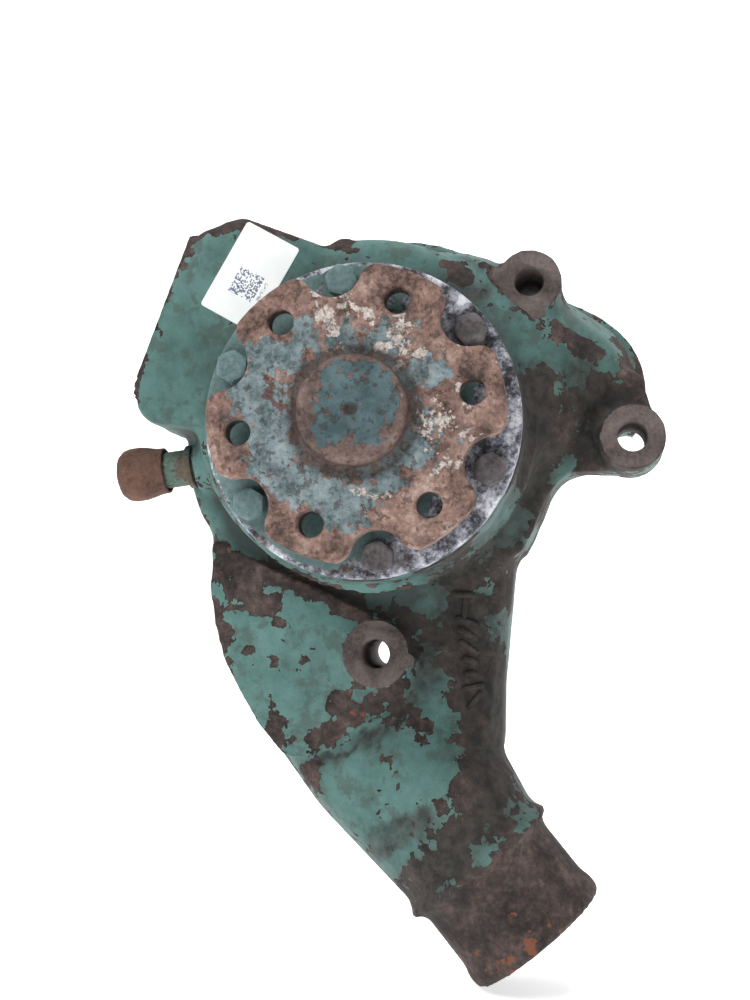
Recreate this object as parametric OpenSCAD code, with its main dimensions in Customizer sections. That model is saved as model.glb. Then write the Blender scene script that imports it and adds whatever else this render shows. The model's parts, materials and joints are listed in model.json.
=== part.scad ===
// Coolant pump for a heavy diesel engine: cast housing, bearing cartridge and drive flange.
// Millimetres. The engine's mounting face is the plane y = 0, the shaft lies on the y axis and
// points forward along -y, and +z is up. Inside the modules a piece is drawn lying on the
// mounting face, so its third coordinate is the distance ahead of that face.

/* [Drive flange] */
// Diameter of the six-lobed drive flange
drive_flange_d = 126.6; // [124:0.2:128]
// Thickness of the drive flange's plate
drive_flange_t = 11; // [9:0.5:12]
// Bolt circle for the pulley
drive_bolt_circle = 100; // [98:0.5:101]
// Diameter of each pulley bolt hole
drive_hole_d = 11; // [9:0.5:12]
// Diameter of the nose that centres the pulley
nose_d = 46; // [42:0.5:50]
// Length of the nose ahead of the plate
nose_length = 9.5; // [6:0.5:14]
// Radius of the scallops that clear the bolt heads behind
scallop_r = 12.5; // [11:0.5:13.5]
// Angle at which the shaft stands
shaft_angle = 8.7; // [0:0.1:59.9]

/* [Bearing housing] */
// Diameter of the bearing housing's flange
cover_d = 138; // [137:0.5:139]
// Thickness of the bearing housing's flange
cover_t = 9.5; // [8.5:0.5:10]
// Bolt circle of the bearing housing
cover_bolt_circle = 120; // [119:0.5:121]
// Width of the bolt heads across their flats
bolt_af = 13; // [12:0.5:13.5]

/* [Shaft and bearings] */
// Outside diameter of both ball bearings
bearing_od = 52; // [52:0.1:54]
// Diameter of the balls
ball_d = 7.94; // [7:0.1:8.2]
// Number of balls in each bearing
ball_count = 9; // [7:1:9]

/* [Impeller] */
// Outside diameter of the impeller
impeller_d = 97; // [90:0.5:98]
// Number of vanes
vane_count = 6; // [5:1:7]
// Thickness of a vane
vane_t = 3.2; // [2.4:0.2:4]

/* [Pump housing] */
// Diameter of the three mounting bolt holes
mounting_hole_d = 13.8; // [12.5:0.1:14.5]
// Outside diameter of the hose spigot
spigot_d = 70; // [68:0.5:71]
// Bore of the hose spigot
spigot_bore = 59; // [54:0.5:61]
// Length of the spigot beyond its hose stop
spigot_length = 45; // [38:1:48]
// Diameter of the delivery port in the mounting face
port_d = 50; // [44:1:52]
// Diameter of the impeller's eye in the wall behind it
eye_d = 72; // [70:0.5:74]

/* [Hidden] */
$fn = 96;
gap = 0.02;                 // between pieces that are pressed or set together
cover_front = 128;          // front of the bearing housing's flange
gasket_t = 0.5;
cover_back = cover_front - cover_t;
neck_front = cover_back - gasket_t;
flange_back = 137.5;        // rear of the drive flange's plate
flange_front = flange_back + drive_flange_t;
wall_front = 88;            // front of the volute
wall_back = 82;             // inside of the volute's front wall
partition_front = 54;       // wall between the volute and the suction chamber
partition_back = 48;
rear_wall = 8;
pilot_r = 50;               // register of the bearing housing in the pump housing
cartridge_back = 86;        // rear of the bearing housing
bearing_w = 15;
bearing_r = bearing_od / 2;
race_r = 19.25;             // pitch radius of the balls
rear_bearing = 96;
front_bearing = 117;
shaft_r = 12.5;
seal_face = 77.5;           // where the carbon ring meets its counter face
// bolt holes: x, z, front, radius of the boss, rear
mounting_holes = [[71.3, 69.6, 80, 15, 0], [117.3, -3.2, 80, 15, 46], [-2.5, -101.9, 64, 16.5, 0]];
bolt_phase = 37.4;
port_at = [86, 25];
spigot_at = [72.4, -233.6, 45];
spigot_turn = -50.9;        // the spigot's direction below the x axis
nipple_at = [-86, -11, 60];
nipple_turn = 187.2;
plug_at = [-30, -52];
plug_r = 17;
box_turn = 69.5;            // direction of the bypass port's long side
volute_at = [-4, 11];
volute_r = 81;
suction_at = [-7, 2];
suction_r = 91;
suction_front = 54;
soft = 32;                  // facets round the blended castings

green = [0.33, 0.52, 0.45];
iron = [0.33, 0.29, 0.27];
rust = [0.5, 0.33, 0.25];
steel = [0.62, 0.62, 0.64];
brass = [0.72, 0.56, 0.28];
rubber = [0.1, 0.1, 0.1];

// Stands a piece drawn flat on the mounting face up into the pump's own directions.
module ahead(h = 0) rotate([90, 0, 0]) translate([0, 0, h]) children();

// Repeats round the shaft.
module around(n, phase = 0) for (i = [0:n - 1]) rotate(phase + i * 360 / n) children();

module ring(outer, inner, from, to) difference() {
    translate([0, 0, from]) cylinder(r = outer, h = to - from);
    translate([0, 0, from - 1]) cylinder(r = inner, h = to - from + 2);
}

// A round lump with a rounded front edge, used only inside a blend.
module lump(x, y, r, back, front, edge) translate([x, y, back]) {
    cylinder(r = r, h = front - back - edge, $fn = soft);
    cylinder(r = r - 0.29 * edge, h = front - back - 0.29 * edge, $fn = soft);
    cylinder(r = r - edge, h = front - back, $fn = soft);
}

// A round body with a rounded front edge.
module drum(at, r, back, front, edge) translate([at[0], at[1], back]) rotate_extrude() {
    square([r, front - back - edge]);
    square([r - edge, front - back]);
    translate([r - edge, front - back - edge]) intersection() {
        circle(edge);
        square(edge);
    }
}

// The direction of the hose spigot, drawn upright and laid down; 0 is the open end.
module along_spigot() translate(spigot_at) rotate(spigot_turn) rotate([0, 90, 0]) children();
module along_nipple() translate(nipple_at) rotate(nipple_turn) rotate([0, 90, 0]) children();
// The bypass port's frame: x runs up its long side, y points out of it.
module at_box() rotate(box_turn) children();

// ---- pump housing ----

module mounting_flange() linear_extrude(12) polygon([[-40, 60], [-26, 98], [-12.5, 108], [3.2, 109.5],
    [14, 109], [24.1, 107], [39.6, 101.3], [53.4, 94.6], [70, 85.4], [86.3, 76.5], [96, 72], [105.3, 67.1],
    [115.2, 59.1], [120, 53.4], [123.5, 47.1], [126, 40.7], [127.2, 34.3], [127.6, 28], [127.5, 21], [125, 13],
    [112.8, -12], [96.7, -12.8], [89, -15], [84.2, -18.8], [79.2, -26.2], [71.4, -45.9], [67.4, -53.3],
    [50, -66], [0, 0]]);

// Web that carries the right-hand lug.
module lug_web() translate([0, 0, 34]) linear_extrude(24) polygon([[40, 0], [58, -58], [66, -54],
    [70.5, -46.5], [77.5, -29], [82.5, -21.8], [88.5, -17.6], [96.2, -16.2], [111.3, -16.6], [117.3, -18],
    [130, 4], [122, 30], [84, 40]]);

// Outline of the raised pad, its left side being the side of the casting.
pad = [[-84.6, -45], [-50, -62.7], [-31.1, -69.9], [-10.4, -80.4], [6.5, -87.5], [13, -94], [15.2, -102],
    [13.7, -112], [8.5, -119.5], [1.9, -125.7], [-17, -139.8], [-36, -150.2], [-46, -149.6], [-58.2, -135.7],
    [-68, -119.3], [-75.5, -105.1], [-80.1, -88.4], [-82.7, -71.6]];

module bypass_box(back, front, edge) hull() {
    at_box() {
        lump(-22.5, 106, 9, back, front, edge);
        lump(57, 106, 9, back, front, edge);
    }
    lump(-63, 94.8, 8.5, back, front, edge);
    lump(-31.5, 76.5, 14, back, front, edge);
    lump(-68, 15, 14, back, front, edge);
}

module duct() {
    // broad part below the suction chamber
    hull() {
        lump(-38, -48, 46, 0, 53, 14);
        lump(18, -40, 46, 0, 53, 14);
        lump(14.5, -116, 42, 0, 53, 16);
        lump(-27, -100, 50, 0, 53, 16);
    }
    // narrowing part
    hull() {
        lump(14.5, -112, 42, 0, 53, 16);
        lump(-27, -100, 50, 0, 53, 16);
        lump(0, -146, 44, 1, 57, 18);
        lump(15, -140, 41, 1, 58, 20);
    }
    // turn into the round spigot
    hull() {
        lump(0, -146, 44, 1, 57, 18);
        lump(11, -151, 38, 1, 60, 20);
        along_spigot() translate([0, 0, -spigot_length - 7]) cylinder(r = spigot_d / 2 + 1, h = 7, $fn = 48);
    }
}

module spigot() along_spigot() {
    translate([0, 0, -spigot_length - 12]) cylinder(r = spigot_d / 2, h = spigot_length + 12);
    // hose stop
    translate([0, 0, -spigot_length - 2.5]) rotate_extrude() {
        square([spigot_d / 2 + 3, 5]);
        translate([spigot_d / 2 + 2.5, 2.5]) circle(2.5, $fn = 32);
    }
    // bead that holds the hose
    translate([0, 0, -8]) rotate_extrude() {
        polygon([[0, -3], [spigot_d / 2, -3], [spigot_d / 2 + 1.4, 0], [spigot_d / 2 + 1.4, 5],
            [spigot_d / 2 + 0.6, 7.2], [spigot_d / 2 - 1, 8], [0, 8]]);
    }
}

module casting() {
    mounting_flange();
    lug_web();
    drum(suction_at, suction_r, 0, suction_front, 5);
    drum(volute_at, volute_r, 40, wall_front, 9);
    // neck that carries the bearing housing
    translate([0, 0, 50]) cylinder(r = cover_d / 2 + 0.5, h = neck_front - 50);
    translate([0, 0, wall_front - 1]) cylinder(r1 = cover_d / 2 + 6, r2 = cover_d / 2 + 0.5, h = 7);
    // the volute's end, turning back to the delivery port
    hull() {
        lump(30, 28, 60, 0, 85, 16);
        lump(84, 26, 38, 0, 64, 26);
    }
    duct();
    spigot();
    bypass_box(22, wall_front, 3.5);
    // raised pad with the third bolt hole
    linear_extrude(62) polygon(pad);
    for (m = mounting_holes) translate([m[0], m[1], m[4]]) cylinder(r1 = m[3] + 1, r2 = m[3], h = m[2] - m[4]);
    // small ear at the top
    translate([-15, 86.5, 48]) cylinder(r = 6.5, h = 34);
    // boss for the heater nipple
    along_nipple() translate([0, 0, -24]) cylinder(r1 = 15, r2 = 12.5, h = 28);
}

// Outline of the volute's passage: a spiral from its tongue over the top, then out to the delivery turn.
spiral = concat([for (i = [0:47]) let(t = i * 5, r = 53 + 23 * t / 235) r * [cos(-35 - t), sin(-35 - t)]],
    [[26, 74], [40, 68.5], [52, 61], [62, 50.5], [69, 38], [72, 25], [70, 8], [63, -8], [52, -20]]);

// Passages inside.
module passages() {
    // suction chamber, leaving the wall of the delivery turn
    translate([suction_at[0], suction_at[1], rear_wall]) difference() {
        cylinder(r = suction_r - 8, h = partition_back - rear_wall);
        translate([port_at[0] - suction_at[0], port_at[1] - suction_at[1], -1]) cylinder(r = 44, h = 60);
    }
    // duct up to it, below the pad
    hull() {
        lump(-28, -62, 40, rear_wall, 46, 6);
        lump(10, -100, 37, rear_wall, 46, 6);
        lump(5, -138, 33, rear_wall, 48, 8);
    }
    // sloping throat from the spigot's bore into the duct
    translate([41, -192.5, 44.5]) rotate([0, 0, atan2(57.5, -34)]) rotate([0, 90 + 15.5, 0])
        translate([0, 0, -4]) cylinder(r1 = 29.2, r2 = 19.5, h = 72);
    along_spigot() translate([0, 0, -spigot_length - 6]) cylinder(d = spigot_bore, h = spigot_length + 8);
    // volute
    translate([0, 0, partition_front]) linear_extrude(wall_back - partition_front) polygon(spiral);
    translate([0, 0, partition_front]) cylinder(r = pilot_r, h = 40);
    // turn into the delivery port
    hull() {
        translate([54, 22, 62]) cylinder(r = 17, h = 15, $fn = soft);
        translate([port_at[0], port_at[1], 24]) cylinder(d = port_d, h = 14, $fn = soft);
    }
    translate([port_at[0], port_at[1], -1]) cylinder(d = port_d, h = 32);
    // eye, with a step for the wear ring
    translate([0, 0, partition_back - 1]) cylinder(d = eye_d, h = 10);
    // bypass port, opening into the suction chamber only
    at_box() translate([-12, 80, 34]) cube([58, 60, 42]);
    at_box() translate([-12, 60, 34]) cube([58, 30, partition_back - 35]);
    // heater nipple
    along_nipple() translate([0, 0, -30]) cylinder(r = 5.5, h = 40);
    along_nipple() translate([0, 0, -8.2]) cylinder(r = 8 + gap, h = 20);
    // spot face for the nipple's collar
    along_nipple() translate([0, 0, 4.8]) cylinder(r = 11.5, h = 24);
}

module pump_housing() color(green) ahead() difference() {
    union() {
        difference() {
            casting();
            passages();
        }
        // column round the bolt that crosses the duct
        translate([mounting_holes[2][0], mounting_holes[2][1], 0]) cylinder(r = 13, h = 50);
    }
    for (m = mounting_holes) {
        translate([m[0], m[1], m[4] - 1]) cylinder(d = mounting_hole_d, h = m[2] - m[4] + 8);
        // spot face for the bolt's head
        translate([m[0], m[1], m[2]]) cylinder(r = m[3] - 0.5, h = 12);
    }
    // room behind the right-hand lug for its bolt
    translate([mounting_holes[1][0], mounting_holes[1][1], -1]) cylinder(r = 10, h = mounting_holes[1][4] + 1);
    // register and threaded holes for the bearing housing
    translate([0, 0, wall_back - 2]) cylinder(r = pilot_r, h = 60);
    around(6, bolt_phase) translate([cover_bolt_circle / 2, 0, neck_front - 22]) cylinder(r = 4 + gap, h = 30);
    // weep hole below the shaft
    translate([0, -40, 93.5]) rotate([90, 0, 0]) cylinder(r = 2.5, h = 50);
    // core plug's hole and the delivery port's seal groove
    translate([plug_at[0], plug_at[1], -1]) cylinder(r = plug_r, h = rear_wall + 3);
    translate([port_at[0], port_at[1], -1]) ring(port_d / 2 + 5.5, port_d / 2 + 2, 0, 4.2);
    // threaded holes beside the bypass port
    at_box() for (u = [-18.5, 52.5]) translate([u, 116, 55]) rotate([90, 0, 0]) cylinder(r = 3.4, h = 18);
}

module core_plug() color(steel) ahead() translate([plug_at[0], plug_at[1], 0]) difference() {
    translate([0, 0, 1]) cylinder(r = plug_r - gap, h = 6.5);
    translate([0, 0, 0]) cylinder(r = plug_r - 2, h = 5.5);
}

module wear_ring() color(brass) ahead() ring(eye_d / 2 - gap, eye_d / 2 - 3.5, partition_back + 0.2, partition_front - 0.2);

module delivery_seal() color(rubber) ahead() translate([port_at[0], port_at[1], 1.7])
    rotate_extrude() translate([port_d / 2 + 3.75, 0]) circle(1.5, $fn = 32);

module heater_nipple() color(rust) ahead() along_nipple() difference() {
    union() {
        translate([0, 0, -8]) cylinder(r = 8, h = 16);
        translate([0, 0, 5.2]) cylinder(r = 8.75, h = 24.8);
        translate([0, 0, 5.2]) cylinder(r = 10.5, h = 3);
    }
    translate([0, 0, -9]) cylinder(r = 6, h = 45);
}

module nipple_cap() color(rust) ahead() along_nipple() rotate_extrude() polygon([[0, 43.4], [6, 43], [10, 41.5],
    [12.2, 39], [13, 36], [13, 31], [12.2, 27], [11.2, 23], [11, 19], [9.7, 19], [9.8, 23], [8.77, 25],
    [8.77, 30.2], [9.5, 33], [9, 37.5], [6, 40], [0, 40.5]]);

module label() color([0.93, 0.93, 0.93]) ahead(wall_front) translate([-59.5, 100.7]) rotate(-30)
    linear_extrude(0.3) translate([1.5, -43.5]) {
        square([25.8, 42]);
        for (x = [0, 25.8]) for (y = [0, 42]) translate([x, y]) circle(1.5, $fn = 24);
        translate([-1.5, 0]) square([28.8, 42]);
        translate([0, -1.5]) square([25.8, 45]);
    }

// ---- bearing housing and what it holds ----

module bearing_housing() color([0.55, 0.55, 0.57]) ahead() difference() {
    union() {
        translate([0, 0, cover_back]) cylinder(d = cover_d, h = cover_t - 1);
        translate([0, 0, cover_front - 1]) cylinder(d1 = cover_d, d2 = cover_d - 2, h = 1);
        translate([0, 0, cartridge_back]) cylinder(r = pilot_r - 0.05, h = cover_back - cartridge_back + 1);
        translate([0, 0, cover_front - 1]) cylinder(r1 = bearing_r + 14, r2 = bearing_r + 10, h = 10);
    }
    translate([0, 0, rear_bearing]) cylinder(r = bearing_r, h = 50);
    translate([0, 0, cartridge_back + 5]) cylinder(r = 23, h = 8);
    translate([0, 0, cartridge_back - 1]) cylinder(r = 18.5, h = 10);
    translate([0, 0, front_bearing + bearing_w]) cylinder(r = bearing_r + 1.6, h = 1.5);
    around(6, bolt_phase) translate([cover_bolt_circle / 2, 0, cover_back - 1]) cylinder(r = 4.4, h = 20);
    around(6, bolt_phase) translate([cover_bolt_circle / 2, 0, cover_front - 0.5]) cylinder(r = 9.5, h = 5, $fn = 48);
    translate([0, -20, 93.5]) rotate([90, 0, 0]) cylinder(r = 2.5, h = 40);
}

module bearing_housing_gasket() color([0.3, 0.28, 0.25]) ahead() difference() {
    ring(cover_d / 2 - 0.3, pilot_r + 0.1, neck_front, cover_back);
    around(6, bolt_phase) translate([cover_bolt_circle / 2, 0, neck_front - 1]) cylinder(r = 4.6, h = 3);
}

module cover_bolt() {
    translate([0, 0, neck_front - 20]) cylinder(r = 4, h = cover_front + 1.8 - neck_front + 20);
    translate([0, 0, cover_front + 1.7]) intersection() {
        cylinder(d = bolt_af / cos(30), h = 5.3, $fn = 6);
        union() {
            cylinder(d = bolt_af * 1.16, h = 4.4);
            translate([0, 0, 4.4]) cylinder(d1 = bolt_af * 1.16, d2 = bolt_af * 0.97, h = 0.9);
        }
    }
}

module cover_bolts() color(iron) ahead() for (i = [0:5]) rotate(bolt_phase + i * 60)
    translate([cover_bolt_circle / 2, 0, 0]) rotate(i * 17) cover_bolt();

module cover_washers() color(steel) ahead() around(6, bolt_phase) translate([cover_bolt_circle / 2, 0, 0])
    difference() {
        ring(6.6, 4.1, cover_front - 0.5, cover_front + 1.7);
        rotate(200) translate([0, -0.4, cover_front - 1]) cube([8, 0.8, 4]);
    }

module circlip() color(steel) ahead() difference() {
    ring(bearing_r + 1.5, bearing_r - 2.2, front_bearing + bearing_w + 0.1, front_bearing + bearing_w + 1.3);
    rotate(90) translate([0, -4, front_bearing]) cube([40, 8, 40]);
}

module grease_seal() color(rubber) ahead() difference() {
    ring(bearing_r - gap, 17.1, front_bearing + bearing_w + 1.7, 136.8);
    translate([0, 0, front_bearing + bearing_w]) ring(bearing_r - 2, 19.5, 0, 3.2);
}

module outer_spacer() color(steel) ahead() ring(bearing_r - 0.1, bearing_r - 3.5, rear_bearing + bearing_w, front_bearing);

module outer_race(at) ahead() difference() {
    ring(bearing_r - gap, race_r + 2.6, at, at + bearing_w);
    translate([0, 0, at + bearing_w / 2]) rotate_extrude() translate([race_r, 0]) circle(ball_d / 2 + 0.05, $fn = 48);
}
module front_outer_race() color(steel) outer_race(front_bearing);
module rear_outer_race() color(steel) outer_race(rear_bearing);

module seal_shell() color(brass) ahead() difference() {
    union() {
        ring(18.5 - gap, 17.3, 80, cartridge_back + 5);
        ring(18.5 - gap, 11, cartridge_back + 4, cartridge_back + 5);
        ring(21, 18, cartridge_back - 1.2, cartridge_back);
    }
}

module seal_bellows() color(rubber) ahead() rotate_extrude() polygon([[11, 89.8], [17.1, 89.8], [17.1, 88.8],
    [12.8, 88.8], [13.6, 87], [12.6, 85.2], [13.6, 83.4], [14.5, 82.1], [11, 82.1], [11.8, 83.4], [11, 85.2],
    [11.8, 87]]);

// A coil drawn as half turns, each leaning the other way from the one before.
module seal_spring() color(steel) ahead() let(r = 15.6, rise = 0.85, lean = asin(rise / 2 / 15.6))
    for (k = [0:5]) translate([0, 0, 82.95 + rise * (k + 0.5)])
        rotate(k * 180) rotate([0, lean, 0]) rotate_extrude(angle = 180) translate([r, 0]) circle(0.55, $fn = 16);

module seal_carbon() color([0.16, 0.16, 0.17]) ahead() {
    ring(16.2, 11, seal_face + 1.5, 82);
    ring(14.6, 11.6, seal_face, seal_face + 2);
}

// ---- shaft and what turns with it ----

module shaft() color(steel) ahead() {
    translate([0, 0, 91]) cylinder(r = shaft_r - gap, h = 60.7);
    translate([0, 0, 73]) cylinder(r = 10, h = 19);
    translate([0, 0, 58.2]) cylinder(r = 8, h = 15.8);
    translate([0, 0, 45]) cylinder(r = 6, h = 14);
}

// One scallop of the drive flange, on the x axis, with the corners of the lobes beside it rounded.
module scallop() let(at = 62, corner = 7.5, out = drive_flange_d / 2 - corner,
    half = acos((at * at + out * out - pow(scallop_r + corner, 2)) / (2 * at * out)),
    centre = out * [cos(half), sin(half)],
    meet = atan2(centre[1], centre[0] - at),
    side = concat([[80, centre[1] + corner * 0.98 * sin(half - 20)]],
        [for (k = [0:8]) let(a = half - 20 + (meet - 180 - half + 20) * k / 8) centre + corner * [cos(a), sin(a)]],
        [for (k = [1:8]) let(a = meet + (180 - meet) * k / 8) [at, 0] + scallop_r * [cos(a), sin(a)]]))
    polygon(concat(side, [for (k = [len(side) - 2:-1:0]) [side[k][0], -side[k][1]]]));

module drive_flange() color(rust) ahead() difference() {
    union() {
        translate([0, 0, flange_back]) cylinder(d = drive_flange_d, h = drive_flange_t - 1);
        translate([0, 0, flange_front - 1]) cylinder(d1 = drive_flange_d, d2 = drive_flange_d - 2, h = 1);
        translate([0, 0, front_bearing + bearing_w]) cylinder(r = 17, h = 6);
        translate([0, 0, flange_front - 0.1]) cylinder(d1 = nose_d + 5, d2 = nose_d, h = 2.2);
        translate([0, 0, flange_front]) cylinder(d = nose_d, h = nose_length - 1.5);
        translate([0, 0, flange_front + nose_length - 1.5]) cylinder(d1 = nose_d, d2 = nose_d - 3, h = 1.5);
    }
    around(6, shaft_angle) translate([drive_bolt_circle / 2, 0, flange_back]) {
        translate([0, 0, -1]) cylinder(d = drive_hole_d, h = drive_flange_t + 2);
        translate([0, 0, drive_flange_t - 1]) cylinder(d1 = drive_hole_d, d2 = drive_hole_d + 3, h = 1.5);
    }
    translate([0, 0, flange_back - 1]) linear_extrude(drive_flange_t + 2) around(6, shaft_angle + 30) scallop();
    // bore for the shaft and the centre drilling in the nose
    translate([0, 0, front_bearing]) cylinder(r = shaft_r, h = 35);
    translate([0, 0, flange_front + nose_length - 3.4]) cylinder(r1 = 0.6, r2 = 3.6, h = 3.5);
}

module inner_spacer() color(steel) ahead() ring(16, shaft_r, rear_bearing + bearing_w, front_bearing);

module inner_race(at) ahead() difference() {
    ring(race_r - 2.6, shaft_r, at, at + bearing_w);
    translate([0, 0, at + bearing_w / 2]) rotate_extrude() translate([race_r, 0]) circle(ball_d / 2 + 0.05, $fn = 48);
}
module front_inner_race() color(steel) inner_race(front_bearing);
module rear_inner_race() color(steel) inner_race(rear_bearing);

module slinger() color(rubber) ahead() ring(20, shaft_r, 92.2, 94.6);

module seal_seat() color([0.85, 0.85, 0.82]) ahead() ring(16, 10 + gap, 73.7, seal_face - 0.05);

module vane() intersection() {
    translate([0, 0, 56.5]) linear_extrude(17) translate([12, -24]) difference() {
        circle(38);
        circle(38 - vane_t);
    }
    translate([0, 0, 50]) linear_extrude(30) intersection() {
        difference() {
            circle(d = impeller_d - 0.6);
            circle(23);
        }
        polygon([[0, 0], [10, 0], [60, -30], [80, 40], [30, 70], [0, 20]]);
    }
}

module impeller() color([0.5, 0.45, 0.38]) ahead() rotate(shaft_angle) difference() {
    union() {
        // plate and hub on the drive side
        translate([0, 0, 72]) cylinder(d = impeller_d, h = 4);
        translate([0, 0, 58]) cylinder(r1 = 13, r2 = 19.5, h = 19);
        // shroud with the skirt that runs in the wear ring
        ring(impeller_d / 2, 27.5, 55.2, 58.2);
        ring(eye_d / 2 - 3.9, 27.5, 48.6, 58);
        around(vane_count) vane();
    }
    translate([0, 0, 50]) cylinder(r = 8 + gap, h = 40);
    translate([0, 0, 72.98]) cylinder(r = 10 + gap, h = 10);
    translate([0, 0, 73.6]) cylinder(r = 16 + gap, h = 10);
    // hub face stays behind the counter ring's face
    translate([0, 0, 76.4]) cylinder(d = impeller_d + 2, h = 10);
}

module impeller_nut() color(steel) ahead() difference() {
    translate([0, 0, 48]) cylinder(d = 19 / cos(30), h = 9.98, $fn = 6);
    translate([0, 0, 44]) cylinder(r = 6 + gap, h = 20);
}

module cage(at) ahead() difference() {
    translate([0, 0, at + bearing_w / 2]) ring(race_r + 1.1, race_r - 1.1, -4.6, 4.6);
    around(ball_count) translate([race_r - 5, 0, at + bearing_w / 2]) rotate([0, 90, 0])
        cylinder(d = ball_d + 0.3, h = 10, $fn = 48);
}
module front_cage() color(brass) cage(front_bearing);
module rear_cage() color(brass) cage(rear_bearing);

module balls(at) ahead() around(ball_count) translate([race_r, 0, at + bearing_w / 2]) sphere(d = ball_d, $fn = 48);
module front_balls() color(steel) balls(front_bearing);
module rear_balls() color(steel) balls(rear_bearing);

pump_housing();
core_plug();
wear_ring();
delivery_seal();
heater_nipple();
nipple_cap();
label();
bearing_housing();
bearing_housing_gasket();
cover_bolts();
cover_washers();
circlip();
grease_seal();
outer_spacer();
front_outer_race();
rear_outer_race();
seal_shell();
seal_bellows();
seal_spring();
seal_carbon();
shaft();
drive_flange();
inner_spacer();
front_inner_race();
rear_inner_race();
slinger();
seal_seat();
impeller();
impeller_nut();
front_cage();
front_balls();
rear_cage();
rear_balls();
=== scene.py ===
# %% [markdown]
# # A coolant pump off an old diesel engine
#
# The object is an iron casting with a bolted-on bearing housing and a steel
# drive flange in front. The exact solids come from CAD and are loaded as a
# fixed frame. This notebook adds what CAD leaves out: the soft corners of
# sand-cast iron, chipped engine paint, rust, grime and worn edges, and
# painted shade in the hollows.
#
# Every length is in metres. The pump's rear face is the plane y = 0, the
# shaft runs along -y towards the reader, and z is up.

import json
import math

import bmesh
import bpy
import numpy as np
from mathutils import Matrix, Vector


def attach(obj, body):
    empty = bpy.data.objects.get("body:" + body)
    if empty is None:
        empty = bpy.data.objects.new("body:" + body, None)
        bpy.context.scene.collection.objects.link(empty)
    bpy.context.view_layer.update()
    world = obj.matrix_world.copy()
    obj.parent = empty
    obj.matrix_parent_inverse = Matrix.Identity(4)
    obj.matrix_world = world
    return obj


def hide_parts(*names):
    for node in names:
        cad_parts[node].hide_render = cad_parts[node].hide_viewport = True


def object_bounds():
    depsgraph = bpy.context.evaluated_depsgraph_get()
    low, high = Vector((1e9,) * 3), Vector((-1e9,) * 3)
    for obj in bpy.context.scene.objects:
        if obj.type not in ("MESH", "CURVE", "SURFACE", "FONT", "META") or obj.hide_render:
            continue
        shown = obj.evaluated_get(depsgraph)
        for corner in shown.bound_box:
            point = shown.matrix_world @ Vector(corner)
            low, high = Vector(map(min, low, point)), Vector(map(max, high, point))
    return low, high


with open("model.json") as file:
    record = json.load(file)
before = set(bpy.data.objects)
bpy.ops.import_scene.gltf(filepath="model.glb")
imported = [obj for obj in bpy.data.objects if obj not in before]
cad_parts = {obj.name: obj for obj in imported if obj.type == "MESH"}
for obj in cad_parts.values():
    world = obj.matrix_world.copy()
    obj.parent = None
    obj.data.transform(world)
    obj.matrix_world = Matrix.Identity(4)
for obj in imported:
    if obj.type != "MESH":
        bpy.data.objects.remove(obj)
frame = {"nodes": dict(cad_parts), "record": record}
cad_box = [list(corner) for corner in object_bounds()]
MM = 0.001

# %% [markdown]
# ## The camera
#
# The camera stands a little to the right of the shaft and below it, about
# 0.7 m away, and looks slightly up. A camera object looks along its own -Z
# axis, so the direction is turned into a rotation with `to_track_quat`.

# %% Set up the camera
turn, tilt = math.radians(7.76), math.radians(-5.0)
looking = Vector((-math.sin(turn) * math.cos(tilt),
                  math.cos(turn) * math.cos(tilt), -math.sin(tilt)))
camera_data = bpy.data.cameras.new("camera")
camera_data.lens, camera_data.sensor_width = 50, 36
camera = bpy.data.objects.new("camera", camera_data)
camera.location = (0.0859, -0.7128, -0.0867)
camera.rotation_euler = looking.to_track_quat("-Z", "Y").to_euler()
bpy.context.scene.collection.objects.link(camera)
bpy.context.scene.camera = camera
print("camera looks along", tuple(round(c, 3) for c in looking))

# %% [markdown]
# ## Writing materials as sums
#
# A shader is a graph of nodes. Written out link by link, even simple
# arithmetic becomes hard to read. `Wire` wraps an output socket so that
# `1 - mask * 0.5` adds the Math nodes by itself, and `Finish` is a material
# whose `node` method adds any other node: its settings first, because they
# decide which sockets it has, and then its sockets.

# %% A socket that arithmetic works on
class Wire:
    """An output socket of a material under construction."""

    def __init__(self, finish, socket):
        self.finish, self.socket = finish, socket

    def math(self, operation, *values):
        return self.finish.node("ShaderNodeMath", {"operation": operation}, dict(enumerate(values)))

    def __add__(self, other): return self.math("ADD", self, other)
    def __radd__(self, other): return self.math("ADD", other, self)
    def __sub__(self, other): return self.math("SUBTRACT", self, other)
    def __rsub__(self, other): return self.math("SUBTRACT", other, self)
    def __mul__(self, other): return self.math("MULTIPLY", self, other)
    def __rmul__(self, other): return self.math("MULTIPLY", other, self)

    def above(self, level, width=0.02):
        """0 below the level and 1 above it, with an edge of that width."""
        return self.finish.node("ShaderNodeMapRange", {"interpolation_type": "SMOOTHSTEP"},
                                {"Value": self, "From Min": level - width / 2, "From Max": level + width / 2})

    def clipped(self):
        return self.finish.node("ShaderNodeMath", {"operation": "ADD", "use_clamp": True}, {0: self, 1: 0.0})


# %% A material under construction
SHEEN = 0.28  # weathered surfaces mirror less than the usual 0.5


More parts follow.
